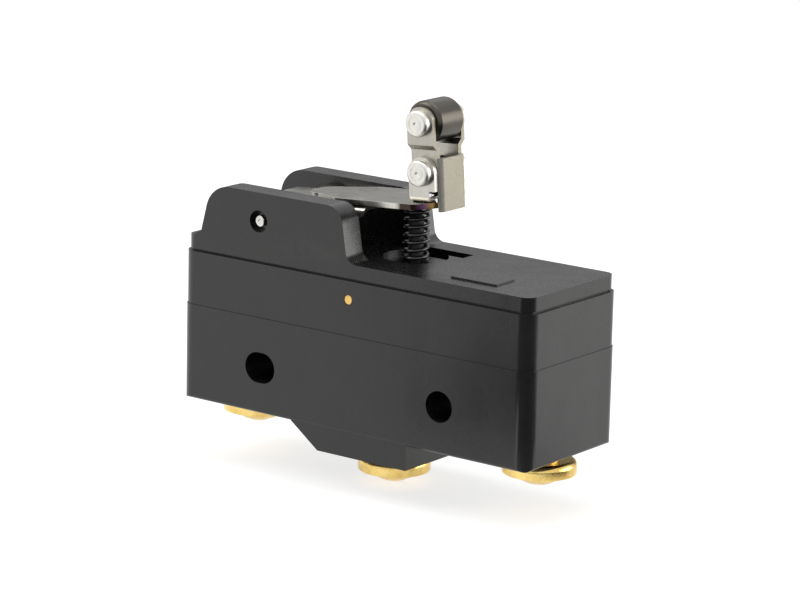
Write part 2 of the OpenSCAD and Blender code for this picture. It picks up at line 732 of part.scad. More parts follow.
// Lever leaf: flat sheet with a narrow tail, full width at the tabs and a round tip
module lever_leaf() {
    tip_c = leaf_tip - leaf_tip_r;
    on_lever() color("silver") translate([0, 0, channel_top]) linear_extrude(height = leaf_t) {
        intersection() {
            translate([leaf_shoulder, -leaf_w / 2]) square([leaf_tip - leaf_shoulder, leaf_w]);
            union() {
                translate([tip_c, 0]) circle(r = leaf_tip_r, $fn = 96);
                translate([leaf_shoulder, -leaf_w / 2]) square([tip_c - leaf_shoulder, leaf_w]);
            }
        }
        translate([leaf_tail + leaf_tail_r, 0]) circle(r = leaf_tail_r);
        polygon([[leaf_tail + leaf_tail_r, -leaf_tail_r], [leaf_shoulder - 0.9, -leaf_w / 2 + 0.6],
                 [leaf_shoulder + 0.1, -leaf_w / 2], [leaf_shoulder + 0.1, leaf_w / 2],
                 [leaf_shoulder - 0.9, leaf_w / 2 - 0.6], [leaf_tail + leaf_tail_r, leaf_tail_r]]);
    }
}

// Coil spring between the deck's seat and the underside of the leaf
module lever_spring() {
    low = [plunger_x - coil_lean / 2, 0, deck_z - coil_seat_d + 0.03 + coil_wire_r];
    run = plunger_x + coil_lean / 2 - pin_x;
    under = pin_z + run * sin(rest_tilt) + channel_top / cos(rest_tilt) - 0.35 - coil_wire_r;
    steps = coil_turns * 14;
    dead = 0.9;
    path = [for (i = [0 : steps])
        let (turn = coil_turns * i / steps, a = 360 * turn,
             live = min(max((turn - dead) / (coil_turns - 2 * dead), 0), 1),
             f = turn / coil_turns,
             r = coil_r_low + (coil_r_high - coil_r_low) * f - coil_wire_r,
             squeeze = 2 * coil_wire_r * 1.04,
             rise = under - low[2] - 2 * dead * squeeze,
             z = min(turn, dead) * squeeze + live * rise + max(turn - coil_turns + dead, 0) * squeeze)
        [low[0] + coil_lean * f + r * cos(a), r * sin(a), low[2] + z]];
    in_place() color("gray") wire(path, [0, 0, 1], coil_wire_r);
}

// Roller bracket: folded U, welded on the leaf, with a notch for the arm's spring
module roller_bracket() {
    base_right = leaf_tip - bracket_back;
    on_lever() color("silver") difference() {
        intersection() {
            translate([0, 0, 2 * leaf_top]) mirror([0, 0, 1])
                along(rivet_u - bracket_r - 1, rivet_u + bracket_r + 1)
                channel_section(bracket_w, leaf_top - rivet_up - bracket_r - 1, leaf_top,
                                fold_t, bracket_fold_r);
            across(bracket_w + 1) union() {
                translate([rivet_u, rivet_v]) circle(r = bracket_r);
                translate([rivet_u - bracket_r, leaf_top]) square([2 * bracket_r, rivet_up]);
            }
        }
        block(base_right, base_right + 2, bracket_w - 2 * fold_t, leaf_top - 1, leaf_top + fold_t + 0.6);
        translate([rivet_u, 0, rivet_v]) bar(rivet_r + seat, bracket_w + 2);
        translate([rivet_u + notch_u, -bracket_w, leaf_top + fold_t])
            cube([2, bracket_w - arm_out - 0.02, notch_h + 0.05]);
    }
}

// A rivet across the fork: shank with a flat, round-edged head at each end
module rivet(grip) {
    edge = 0.3;
    rotate([90, 0, 0]) rotate_extrude() union() {
        translate([0, -grip - 0.1]) square([rivet_r, 2 * grip + 0.2]);
        for (s = [-1, 1]) {
            y0 = s > 0 ? grip : -grip - rivet_head_t;
            translate([0, y0]) square([rivet_head_r - edge, rivet_head_t]);
            translate([0, s > 0 ? y0 : y0 + edge]) square([rivet_head_r, rivet_head_t - edge]);
            translate([rivet_head_r - edge, s > 0 ? y0 + rivet_head_t - edge : y0 + edge]) circle(r = edge);
        }
    }
}

module arm_rivet() {
    on_lever() color("whitesmoke") translate([rivet_u, 0, rivet_v]) rivet(head_in + 0.01);
}

// Torsion spring on the arm's rivet: coil, one leg hooked in the bracket's notch
module arm_spring() {
    r = rivet_r + 0.1 + twist_wire_r;
    pitch = 2 * twist_wire_r * 1.06;
    y0 = -pitch * twist_turns / 2;
    leg_x = rivet_u + r;
    leg_z = leaf_top + fold_t + 0.12 + twist_wire_r;
    steps = twist_turns * 18;
    coil = [for (i = [0 : steps]) let (a = 360 * twist_turns * i / steps)
        [rivet_u + r * cos(a), y0 + pitch * twist_turns * i / steps, rivet_v + r * sin(a)]];
    leg = [for (k = [0 : 3]) [leg_x, y0, leg_z + 0.6 + (rivet_v - leg_z - 0.6) * k / 4]];
    hook = [for (a = [0 : 15 : 75])
        [leg_x, y0 - 0.6 + 0.6 * sin(a), leg_z + 0.6 - 0.6 * cos(a)]];
    on_lever() color("dimgray") wire(
        concat([[leg_x, -bracket_w / 2, leg_z]], hook, leg, coil), [1, 0.001, 0], twist_wire_r);
}

// ---- arm and roller ----

// Section of one cheek of the arm: inside the bracket below, joggled out to its line above
module cheek_section() {
    k = rivet_v + joggle_up;
    d = head_in - arm_out;
    polygon([[arm_in, leaf_top - web_down], [arm_out, leaf_top - web_down], [arm_out, k],
             [head_in, k + joggle_rise], [head_in, axle_v + fork_r + 1],
             [head_in - fold_t, axle_v + fork_r + 1], [head_in - fold_t, k + joggle_rise + 0.2],
             [arm_in, k + 0.2]]);
}

// Roller arm: folded sheet, stop web at the right, cheeks joggled outwards to the roller
module roller_arm() {
    web_out = rivet_u + web_reach;
    web_in = web_out - fold_t;
    cheek_low = leaf_top + fold_t + notch_h + 0.15;
    fold_r = fold_t + 0.05;
    on_lever() color("silver") difference() {
        union() {
            intersection() {
                along(rivet_u - fork_r - 1, web_in + 0.02) for (s = [0, 1]) mirror([s, 0]) cheek_section();
                across(bracket_w + 1) union() {
                    translate([rivet_u, rivet_v]) circle(r = bracket_r);
                    translate([rivet_u - bracket_r, rivet_v])
                        square([2 * bracket_r, joggle_up - 0.1]);
                    translate([rivet_u - fork_r, rivet_v + joggle_up - 0.2])
                        square([2 * fork_r, arm_len - joggle_up + 0.2]);
                    translate([rivet_u, axle_v]) circle(r = fork_r);
                    translate([rivet_u, cheek_low])
                        square([web_in + 0.02 - rivet_u, rivet_v + web_up - cheek_low]);
                }
            }
            intersection() {
                translate([web_out - bracket_w, 0, leaf_top - web_down])
                    linear_extrude(height = rivet_v + web_up - leaf_top + web_down)
                    round_rect(2 * bracket_w, 2 * arm_out, fold_r);
                block(web_in, web_out + past, bracket_w, leaf_top - web_down, rivet_v + web_up);
            }
        }
        translate([rivet_u, 0, rivet_v]) bar(rivet_r + running, bracket_w + 2);
        translate([rivet_u, 0, axle_v]) bar(rivet_r + seat, bracket_w + 2);
    }
}

module roller_axle() {
    on_lever() color("whitesmoke") translate([rivet_u, 0, axle_v]) rivet(head_in + 0.01);
}

// Roller: a ring with chamfered rims
module roller() {
    bore_r = rivet_r + running;
    c = roller_chamfer;
    on_lever() color("slategray") translate([rivet_u, 0, axle_v]) rotate([90, 0, 0])
        rotate_extrude($fn = 96) polygon([
            [bore_r, -roller_half], [roller_r - c, -roller_half], [roller_r, -roller_half + c],
            [roller_r, roller_half - c], [roller_r - c, roller_half], [bore_r, roller_half]]);
}

base_housing();
upper_housing();
top_cover();
cross_pin();
plunger();
insert(0);  // common_insert
insert(1);  // open_insert
insert(2);  // closed_insert
screw(0);  // common_screw
screw(1);  // open_screw
screw(2);  // closed_screw
washer(0);  // common_washer
washer(1);  // open_washer
washer(2);  // closed_washer
blade_anchor();
snap_blade();
moving_contact();
open_strip();
open_contact();
closed_strip();
closed_contact();
lever_pin();
hinge_channel();
lever_leaf();
lever_spring();
roller_bracket();
arm_rivet();
arm_spring();
roller_arm();
roller_axle();
roller();
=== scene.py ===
import json
import math

import bmesh
import bpy
from mathutils import Matrix, Vector


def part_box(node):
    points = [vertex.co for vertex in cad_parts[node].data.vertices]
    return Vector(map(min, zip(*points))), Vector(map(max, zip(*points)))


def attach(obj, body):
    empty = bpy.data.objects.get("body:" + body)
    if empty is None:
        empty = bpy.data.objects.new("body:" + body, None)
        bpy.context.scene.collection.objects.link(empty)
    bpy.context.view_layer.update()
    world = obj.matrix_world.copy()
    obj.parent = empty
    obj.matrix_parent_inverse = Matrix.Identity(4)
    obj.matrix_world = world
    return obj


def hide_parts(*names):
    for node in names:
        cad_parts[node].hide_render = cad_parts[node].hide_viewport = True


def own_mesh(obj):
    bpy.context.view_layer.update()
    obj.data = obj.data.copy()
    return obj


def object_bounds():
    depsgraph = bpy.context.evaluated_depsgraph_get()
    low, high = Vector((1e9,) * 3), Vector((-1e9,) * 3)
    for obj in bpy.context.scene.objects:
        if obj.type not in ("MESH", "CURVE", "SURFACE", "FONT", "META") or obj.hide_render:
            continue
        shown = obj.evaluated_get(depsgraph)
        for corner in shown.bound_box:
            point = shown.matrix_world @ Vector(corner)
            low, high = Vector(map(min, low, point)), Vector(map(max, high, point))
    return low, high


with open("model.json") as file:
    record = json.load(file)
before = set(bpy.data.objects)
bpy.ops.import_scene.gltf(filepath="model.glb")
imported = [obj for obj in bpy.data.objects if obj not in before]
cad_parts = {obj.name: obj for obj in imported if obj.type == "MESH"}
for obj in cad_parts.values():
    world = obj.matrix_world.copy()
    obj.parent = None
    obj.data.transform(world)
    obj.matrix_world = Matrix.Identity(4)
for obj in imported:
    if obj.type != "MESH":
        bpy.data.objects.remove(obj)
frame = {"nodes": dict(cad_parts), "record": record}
cad_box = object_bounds()

# Every length below is in metres; mm turns a drawing size into metres.
mm = 0.001

# The part's two corners, and the body that each CAD node belongs to
LOW, HIGH = cad_box
BODY_OF = {n: b for b, ns in frame["record"]["behaviour"]["bodies"].items() for n in ns}


# ---------------------------------------------------------------- finishes

class Finish:
    """One procedural finish: a shader fed by patterns that are read in millimetres."""

    def __init__(self, name):
        self.material = bpy.data.materials.new(name)
        self.material.use_nodes = True
        self.tree = self.material.node_tree
        self.tree.nodes.clear()
        self.shader = self.add("ShaderNodeBsdfPrincipled")
        surface = self.add("ShaderNodeOutputMaterial")
        self.join(self.shader.outputs["BSDF"], surface.inputs["Surface"])
        place = self.add("ShaderNodeTexCoord")
        self.mm = self.stretched((1 / mm, 1 / mm, 1 / mm), place.outputs["Object"])

    def add(self, kind, **values):
        node = self.tree.nodes.new(kind)
        for key, value in values.items():
            setattr(node, key, value)
        return node

    def join(self, value, socket):
        if isinstance(value, bpy.types.NodeSocket):
            self.tree.links.new(value, socket)
        elif socket.type == "RGBA" and not hasattr(value, "__len__"):
            socket.default_value = (value, value, value, 1)
        elif socket.type == "RGBA":
            socket.default_value = (*value[:3], 1)
        else:
            socket.default_value = value

    def stretched(self, scale, where):
        """Coordinates scaled along each axis, for units, grain and brush marks."""
        node = self.add("ShaderNodeMapping")
        node.inputs["Scale"].default_value = scale
        self.join(where, node.inputs["Vector"])
        return node.outputs["Vector"]

    def noise(self, scale, detail=3.0, rough=0.55, where=None, warp=0.0):
        """Cloudy pattern with so many cells to the millimetre."""
        node = self.add("ShaderNodeTexNoise")
        self.join(where or self.mm, node.inputs["Vector"])
        self.join(scale, node.inputs["Scale"])
        self.join(detail, node.inputs["Detail"])
        self.join(rough, node.inputs["Roughness"])
        self.join(warp, node.inputs["Distortion"])
        return node.outputs["Fac"]

    def specks(self, scale):
        """Distance to scattered points, for dust."""
        node = self.add("ShaderNodeTexVoronoi")
        self.join(self.mm, node.inputs["Vector"])
        self.join(scale, node.inputs["Scale"])
        return node.outputs["Distance"]

    def ramp(self, value, *stops):
        """A value or colour read off a ramp of (place, value) stops."""
        node = self.add("ShaderNodeValToRGB")
        self.join(value, node.inputs["Fac"])
        row = node.color_ramp.elements
        while len(row) < len(stops):
            row.new(0.5)
        for step, (place, shade) in zip(row, stops):
            step.position = place
            tone = shade if hasattr(shade, "__len__") else (shade, shade, shade)
            step.color = (*tone, 1)
        return node.outputs["Color"]

    def sum(self, kind, a, b=0.0, c=0.0):
        """One step of arithmetic between patterns."""
        node = self.add("ShaderNodeMath", operation=kind)
        for value, socket in zip((a, b, c), node.inputs):
            self.join(value, socket)
        return node.outputs["Value"]

    def blend(self, share, a, b):
        """The second colour laid over the first; its colour sockets are known by their place."""
        node = self.add("ShaderNodeMix", data_type="RGBA", blend_type="MIX")
        self.join(share, node.inputs[0])
        self.join(a, node.inputs[6])
        self.join(b, node.inputs[7])
        return node.outputs[2]

    def part(self, where=None):
        """The three coordinates apart."""
        node = self.add("ShaderNodeSeparateXYZ")
        self.join(where or self.mm, node.inputs["Vector"])
        return node.outputs["X"], node.outputs["Y"], node.outputs["Z"]

    def spot(self, centre, reach, soft=0.6):
        """One at a place in millimetres, falling to nought at its reach."""
        shifted = self.add("ShaderNodeVectorMath", operation="SUBTRACT")
        self.join(self.mm, shifted.inputs[0])
        shifted.inputs[1].default_value = centre
        shrunk = self.add("ShaderNodeVectorMath", operation="DIVIDE")
        self.join(shifted.outputs["Vector"], shrunk.inputs[0])
        shrunk.inputs[1].default_value = reach
        far = self.add("ShaderNodeVectorMath", operation="LENGTH")
        self.join(shrunk.outputs["Vector"], far.inputs[0])
        return self.ramp(far.outputs["Value"], (1 - soft, 1.0), (1.0, 0.0))

    def rise(self, height, depth, after=None):
        """Surface relief of so many millimetres, added to an earlier relief."""
        node = self.add("ShaderNodeBump")
        self.join(height, node.inputs["Height"])
        node.inputs["Distance"].default_value = depth * mm
        node.inputs["Strength"].default_value = 1.0
        if after is not None:
            self.join(after, node.inputs["Normal"])
        return node.outputs["Normal"]

    def wear(self, **sockets):
        """Puts patterns or plain numbers on the shader's sockets."""
        for key, value in sockets.items():
            self.join(value, self.shader.inputs[key.replace("_", " ")])
        return self.material


def moulded_black(name, tone=0.006, gloss=0.27, scuffs=()):
    """Black moulded plastic: cloudy sheen, fine grain, faint flow waves and rubbed places."""
    f = Finish(name)
    dim = (tone * 0.85, tone * 0.85, tone * 0.9)
    bright = (tone * 1.2, tone * 1.2, tone * 1.25)
    rubbed_tone = (0.036, 0.036, 0.035)
    dust_tone = (0.12, 0.12, 0.115)
    cloud = f.noise(0.16, 4, 0.6)
    grain = f.noise(9.0, 3, 0.6)
    wave = f.noise(0.07, 2, 0.5)
    dust = f.ramp(f.specks(0.55), (0.0, 1.0), (0.035, 0.0))
    colour = f.ramp(cloud, (0.3, dim), (0.7, bright))
    rough = f.sum("MULTIPLY_ADD", cloud, 0.10, gloss - 0.05)
    rough = f.sum("MULTIPLY_ADD", grain, 0.06, rough)
    for centre, reach in scuffs:
        spot = f.spot(centre, reach)
        patches = f.ramp(f.noise(0.5, 5, 0.75), (0.40, 0.0), (0.65, 1.0))
        rubbed = f.sum("MULTIPLY", spot, patches)
        colour = f.blend(f.sum("MULTIPLY", rubbed, 0.5), colour, rubbed_tone)
        rough = f.sum("MULTIPLY_ADD", rubbed, 0.06, rough)
    colour = f.blend(f.sum("MULTIPLY", dust, 0.35), colour, dust_tone)
    mottle = f.noise(1.1, 4, 0.65)
    rough = f.sum("MULTIPLY_ADD", mottle, 0.14, f.sum("SUBTRACT", rough, 0.07))
    normal = f.rise(wave, 0.25)
    normal = f.rise(mottle, 0.012, normal)
    normal = f.rise(grain, 0.004, normal)
    return f.wear(Base_Color=colour, Roughness=rough, Normal=normal, IOR=1.54)


def rolled_steel(name, tone, gloss, along=(0.12, 2.6, 2.6), stain=0.0, grain_depth=0.004, burnt=False,
                 ground=False):
    """Bright rolled sheet: lengthwise grain, cloudy polish and fine scratches.

    burnt adds weld heat tints, and ground dulls the face that looks right.
    """
    f = Finish(name)
    lines = f.noise(1.6, 5, 0.7, where=f.stretched(along, f.mm))
    cloud = f.noise(0.35, 4, 0.6)
    fine = f.noise(7.0, 2, 0.6)
    dull = tuple(c * 0.80 for c in tone)
    colour = f.ramp(lines, (0.32, dull), (0.68, tone))
    colour = f.blend(f.ramp(cloud, (0.35, 0.25), (0.7, 0.0)), colour, tuple(c * 0.72 for c in tone))
    if stain:
        smoke = f.ramp(f.noise(0.22, 5, 0.65, warp=0.8), (0.5, 0.0), (0.72, stain))
        colour = f.blend(smoke, colour, (0.34, 0.30, 0.24))
    if burnt:
        colour = heat_tinted(f, colour)
    rough = f.sum("MULTIPLY_ADD", lines, 0.16, gloss - 0.08)
    rough = f.sum("MULTIPLY_ADD", cloud, 0.08, rough)
    if ground:
        facing = f.part(f.add("ShaderNodeNewGeometry").outputs["True Normal"])[0]
        web = f.ramp(facing, (0.80, 0.0), (0.95, 1.0))
        speckle = f.ramp(fine, (0.3, 0.0), (0.7, 1.0))
        web_tone = f.blend(speckle, (0.22, 0.205, 0.165), (0.30, 0.28, 0.235))
        colour = f.blend(web, colour, web_tone)
        rough = f.sum("MULTIPLY_ADD", web, 0.16, rough)
    normal = f.rise(lines, grain_depth)
    normal = f.rise(fine, 0.0015, normal)
    return f.wear(Base_Color=colour, Metallic=1.0, Roughness=rough, Normal=normal)


def heat_tinted(f, colour):
    """Weld heat on the leaf: brown, purple and straw along its edge, and rings round two spots."""
    tint_x = -9.6
    tint_run = 5.2
    weld_x = -18.4
    weld_z = 20.2
    weld_reach = (1.5, 1.5, 2.0)
    x = f.part()[0]
    place = f.sum("ADD", x, f.sum("MULTIPLY", f.noise(0.8, 3, 0.6), 1.0))
    run = f.sum("DIVIDE", f.sum("ADD", place, -tint_x), tint_run)
    tint = f.ramp(run, (0.0, (0.30, 0.28, 0.24)), (0.16, (0.05, 0.04, 0.03)), (0.52, (0.05, 0.03, 0.03)),
                  (0.66, (0.26, 0.12, 0.28)), (0.76, (0.70, 0.44, 0.14)), (0.90, (0.60, 0.56, 0.46)))
    facing = f.add("ShaderNodeNewGeometry").outputs["True Normal"]
    side = f.sum("ABSOLUTE", f.part(facing)[2])
    edge = f.ramp(side, (0.45, 1.0), (0.85, 0.0))
    here = f.ramp(run, (0.02, 0.0), (0.16, 1.0), (0.88, 1.0), (0.98, 0.25))
    colour = f.blend(f.sum("MULTIPLY", edge, here), colour, tint)
    for weld_y in (-2.0, 2.0):
        ring = f.spot((weld_x, weld_y, weld_z), weld_reach, soft=0.9)
        ring = f.ramp(ring, (0.0, 0.0), (0.3, 0.35), (0.6, 0.25), (0.9, 0.05))
        colour = f.blend(ring, colour, (0.24, 0.17, 0.10))
    return colour


def turned_brass(name, tone=(0.86, 0.62, 0.22), gloss=0.2):
    """Turned brass: warm yellow, tarnish in patches, turning marks."""
    f = Finish(name)
    cloud = f.noise(0.5, 5, 0.65)
    rings = f.noise(2.4, 3, 0.6, where=f.stretched((0.3, 0.3, 3.0), f.mm))
    fine = f.noise(9.0, 2, 0.6)
    colour = f.ramp(cloud, (0.30, tuple(c * s for c, s in zip(tone, (0.72, 0.62, 0.5)))), (0.62, tone))
    rough = f.sum("MULTIPLY_ADD", cloud, 0.14, gloss - 0.05)
    rough = f.sum("MULTIPLY_ADD", rings, 0.08, rough)
    normal = f.rise(rings, 0.006)
    normal = f.rise(fine, 0.002, normal)
    return f.wear(Base_Color=colour, Metallic=1.0, Roughness=rough, Normal=normal)


# ---------------------------------------------------------------- shapes

def linked(name, mesh):
    """An object at the origin that carries a finished mesh."""
    piece = bpy.data.objects.new(name, mesh)
    bpy.context.scene.collection.objects.link(piece)
    return piece


def settled(piece):
    """Modifiers turned into plain mesh, with its rounded shading kept."""
    graph = bpy.context.evaluated_depsgraph_get()
    made = bpy.data.meshes.new_from_object(
        piece.evaluated_get(graph), preserve_all_data_layers=True, depsgraph=graph)
    piece.modifiers.clear()
    piece.data = made
    return piece


def shaded(mesh, limit=40.0):
    """Rounded shading: each corner takes the lean of the faces that run on from it, larger faces first."""
    mesh.polygons.foreach_set("use_smooth", [True] * len(mesh.polygons))
    around = [[] for _ in mesh.vertices]
    for face in mesh.polygons:
        for point in face.vertices:
            around[point].append(face.index)
    lean = [face.normal.copy() for face in mesh.polygons]
    share = [face.area for face in mesh.polygons]
    bound = math.cos(math.radians(limit))
    normals = []
    for face in mesh.polygons:
        for corner in face.loop_indices:
            total = Vector((0, 0, 0))
            for other in around[mesh.loops[corner].vertex_index]:
                if lean[other].dot(lean[face.index]) > bound:
                    total += lean[other] * share[other]
            normals.append(total.normalized() if total.length > 0 else lean[face.index])
    mesh.normals_split_custom_set(normals)


def eased(node, edge, finish, steps=2, crease=34.0):
    """A CAD node's shape with its sharp edges rounded over, standing for that node."""
    shape = bmesh.new()
    shape.from_mesh(frame["nodes"][node].data)
    bmesh.ops.remove_doubles(shape, verts=shape.verts, dist=2e-7)
    bmesh.ops.dissolve_limit(shape, angle_limit=math.radians(0.5), verts=shape.verts, edges=shape.edges)
    for face in shape.faces:
        face.smooth = True
    mesh = bpy.data.meshes.new(node + "_eased")
    shape.to_mesh(mesh)
    shape.free()
    mesh.materials.clear()
    mesh.materials.append(finish)
    piece = linked(node + "_eased", mesh)
    bevel = piece.modifiers.new("edge", "BEVEL")
    bevel.width = edge * mm
    bevel.segments = steps
    bevel.limit_method = "ANGLE"
    bevel.angle_limit = math.radians(crease)
    bevel.use_clamp_overlap = True
    settled(piece)
    shaded(piece.data)
    return stands_for(piece, node)


class Recipe:
    """A Geometry Nodes tree with named sizes; its result is realised and given its finish."""

    def __init__(self, name, **sizes):
        self.tree = bpy.data.node_groups.new(name, "GeometryNodeTree")
        face = self.tree.interface
        face.new_socket("Shape", in_out="INPUT", socket_type="NodeSocketGeometry")
        face.new_socket("Shape", in_out="OUTPUT", socket_type="NodeSocketGeometry")
        self.keys = {}
        for key, value in sizes.items():
            kind = "NodeSocketInt" if isinstance(value, int) else "NodeSocketFloat"
            socket = face.new_socket(key, in_out="INPUT", socket_type=kind)
            socket.default_value = value
            self.keys[key] = socket.identifier
        self.given = self.tree.nodes.new("NodeGroupInput")
        self.result = self.tree.nodes.new("NodeGroupOutput")

    def size(self, key):
        return self.given.outputs[key]

    def join(self, value, socket):
        if isinstance(value, bpy.types.NodeSocket):
            self.tree.links.new(value, socket)
        else:
            socket.default_value = value

    def step(self, kind, feeds, **settings):
        """One node, its settings and what feeds each of its sockets."""
        node = self.tree.nodes.new(kind)
        for key, value in settings.items():
            setattr(node, key, value)
        for key, value in feeds.items():
            self.join(value, node.inputs[key])
        return node

    def sum(self, kind, a, b=0.0, c=0.0):
        """One step of arithmetic between sizes."""
        node = self.tree.nodes.new("ShaderNodeMath")
        node.operation = kind
        for value, socket in zip((a, b, c), node.inputs):
            self.join(value, socket)
        return node.outputs[0]

    def swept(self, line, radius, sides):
        """A round wire along a line, with closed ends and smooth shading."""
        ring = self.step("GeometryNodeCurvePrimitiveCircle", {"Resolution": sides, "Radius": radius})
        wire = self.step("GeometryNodeCurveToMesh", {
            "Curve": line, "Profile Curve": ring.outputs[0], "Fill Caps": True})
        smooth = self.step("GeometryNodeSetShadeSmooth", {
            "Geometry": wire.outputs[0], "Shade Smooth": True})
        return smooth.outputs[0]

    def close(self, shape, finish):
        """The tree's end: copies made real, then the finish."""
        real = self.step("GeometryNodeRealizeInstances", {"Geometry": shape})
        dressed = self.step("GeometryNodeSetMaterial", {"Geometry": real.outputs[0], "Material": finish})
        self.join(dressed.outputs[0], self.result.inputs["Shape"])

    def build(self, name, start=None, **sizes):
        """An object whose mesh the tree has made with these sizes."""
        piece = linked(name, start or bpy.data.meshes.new(name))
        maker = piece.modifiers.new("recipe", "NODES")
        maker.node_group = self.tree
        for key, value in sizes.items():
            maker[self.keys[key]] = value
        return settled(piece)


def coil_recipe(name, finish):
    """Coil spring or thread round the upright axis: turns, taper, lean and closed end turns."""
    r = Recipe(name, Turns=7.5, Steps=24, Sides=14, Wire=0.2 * mm, Low=1.5 * mm, High=1.4 * mm,
               Rise=6.0 * mm, Dead=0.9, Squeeze=0.42 * mm, Lean=0.0)
    straight = r.step("GeometryNodeCurvePrimitiveLine", {})
    count = r.sum("MULTIPLY_ADD", r.size("Turns"), r.size("Steps"), 1.0)
    points = r.step("GeometryNodeResampleCurve", {"Curve": straight.outputs[0], "Count": count})
    share = r.step("GeometryNodeSplineParameter", {}).outputs["Factor"]
    turn = r.sum("MULTIPLY", share, r.size("Turns"))
    angle = r.sum("MULTIPLY", turn, 2 * math.pi)
    both = r.sum("MULTIPLY", r.size("Dead"), 2.0)
    free = r.sum("SUBTRACT", r.size("Turns"), both)
    live = r.sum("DIVIDE", r.sum("SUBTRACT", turn, r.size("Dead")), free)
    live = r.sum("MINIMUM", r.sum("MAXIMUM", live, 0.0), 1.0)
    flat = r.sum("MULTIPLY", both, r.size("Squeeze"))
    climb = r.sum("MULTIPLY", live, r.sum("SUBTRACT", r.size("Rise"), flat))
    first = r.sum("MULTIPLY", r.sum("MINIMUM", turn, r.size("Dead")), r.size("Squeeze"))
    last = r.sum("ADD", r.sum("SUBTRACT", turn, r.size("Turns")), r.size("Dead"))
    last = r.sum("MULTIPLY", r.sum("MAXIMUM", last, 0.0), r.size("Squeeze"))
    height = r.sum("ADD", r.sum("ADD", first, climb), last)
    taper = r.sum("SUBTRACT", r.size("High"), r.size("Low"))
    reach = r.sum("MULTIPLY_ADD", taper, share, r.size("Low"))
    side = r.sum("MULTIPLY_ADD", r.size("Lean"), share, r.sum("MULTIPLY", reach, r.sum("COSINE", angle)))
    place = r.step("ShaderNodeCombineXYZ", {
        "X": side, "Y": r.sum("MULTIPLY", reach, r.sum("SINE", angle)), "Z": height})
    bent = r.step("GeometryNodeSetPosition", {"Geometry": points.outputs[0], "Position": place.outputs[0]})
    r.close(r.swept(bent.outputs[0], r.size("Wire"), r.size("Sides")), finish)
    return r


def wire_recipe(name, finish):
    """Wire bent along a drawn line, with a bend radius at each corner."""
    r = Recipe(name, Wire=0.25 * mm, Bend=0.6 * mm, Sides=14)
    line = r.step("GeometryNodeMeshToCurve", {"Mesh": r.size("Shape")})
    bent = r.step("GeometryNodeFilletCurve", {
        "Curve": line.outputs[0], "Count": 8, "Radius": r.size("Bend")}, mode="POLY")
    r.close(r.swept(bent.outputs[0], r.size("Wire"), r.size("Sides")), finish)
    return r


def drawn_line(name, points):
    """A mesh of edges only, along the given points."""
    mesh = bpy.data.meshes.new(name)
    mesh.from_pydata(points, [(i, i + 1) for i in range(len(points) - 1)], [])
    return mesh


def turned(name, outline, finish, place, sides=64):
    """A solid turned from (height, radius) points that start and end on the axis."""
    shape = bmesh.new()
    rings = []
    for height, radius in outline:
        if radius == 0:
            rings.append([shape.verts.new((0, 0, height * mm))])
            continue
        turns = [2 * math.pi * k / sides for k in range(sides)]
        rings.append([shape.verts.new((radius * mm * math.cos(a), radius * mm * math.sin(a), height * mm))
                      for a in turns])
    for low, high in zip(rings, rings[1:]):
        for k in range(sides):
            corners = [low[k % len(low)], low[(k + 1) % len(low)],
                       high[(k + 1) % len(high)], high[k % len(high)]]
            shape.faces.new(list(dict.fromkeys(corners)))
    bmesh.ops.recalc_face_normals(shape, faces=shape.faces)
    mesh = bpy.data.meshes.new(name)
    shape.to_mesh(mesh)
    shape.free()
    mesh.transform(place)
    mesh.materials.append(finish)
    shaded(mesh, limit=32.0)
    return linked(name, mesh)


def stands_for(piece, node):
    """The piece rides with a CAD node's body and is shown in its stead."""
    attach(piece, BODY_OF[node])
    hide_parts(node)
    return piece


# ---------------------------------------------------------------- case

case_finish = moulded_black("moulded_black")
front_scuff = ((-19.0, -8.4, 14.6), (7.0, 1.5, 1.6))
cover_finish = moulded_black("cover_black", gloss=0.24, scuffs=[front_scuff])
# The plunger's black is its own colour with painted shade: half the case's tone, darker to stand for the
# shade inside the coil spring.
rod_painted_shade_finish = moulded_black("rod_black_with_painted_shade", tone=0.003, gloss=0.5)
eased("base_housing", 0.12, case_finish)
eased("upper_housing", 0.10, case_finish)
eased("top_cover", 0.12, cover_finish)
eased("plunger", 0.08, rod_painted_shade_finish)

brass = turned_brass("turned_brass")
screw_brass = turned_brass("screw_brass", tone=(0.90, 0.68, 0.24), gloss=0.16)
for side in ("common", "open", "closed"):
    eased(side + "_insert", 0.08, brass)
    eased(side + "_screw", 0.12, screw_brass)
    eased(side + "_washer", 0.10, screw_brass)
eased("cross_pin", 0.10, brass)

# ---------------------------------------------------------------- contacts inside

strip_brass = turned_brass("strip_brass", tone=(0.80, 0.58, 0.24), gloss=0.28)
bronze = turned_brass("spring_bronze", tone=(0.72, 0.42, 0.22), gloss=0.24)
silver = rolled_steel("contact_silver", (0.86, 0.84, 0.80), 0.28)
eased("blade_anchor", 0.06, strip_brass)
eased("open_strip", 0.06, strip_brass)
eased("closed_strip", 0.06, strip_brass)
eased("snap_blade", 0.03, bronze)
for name in ("moving_contact", "open_contact", "closed_contact"):
    eased(name, 0.10, silver)

# ---------------------------------------------------------------- lever

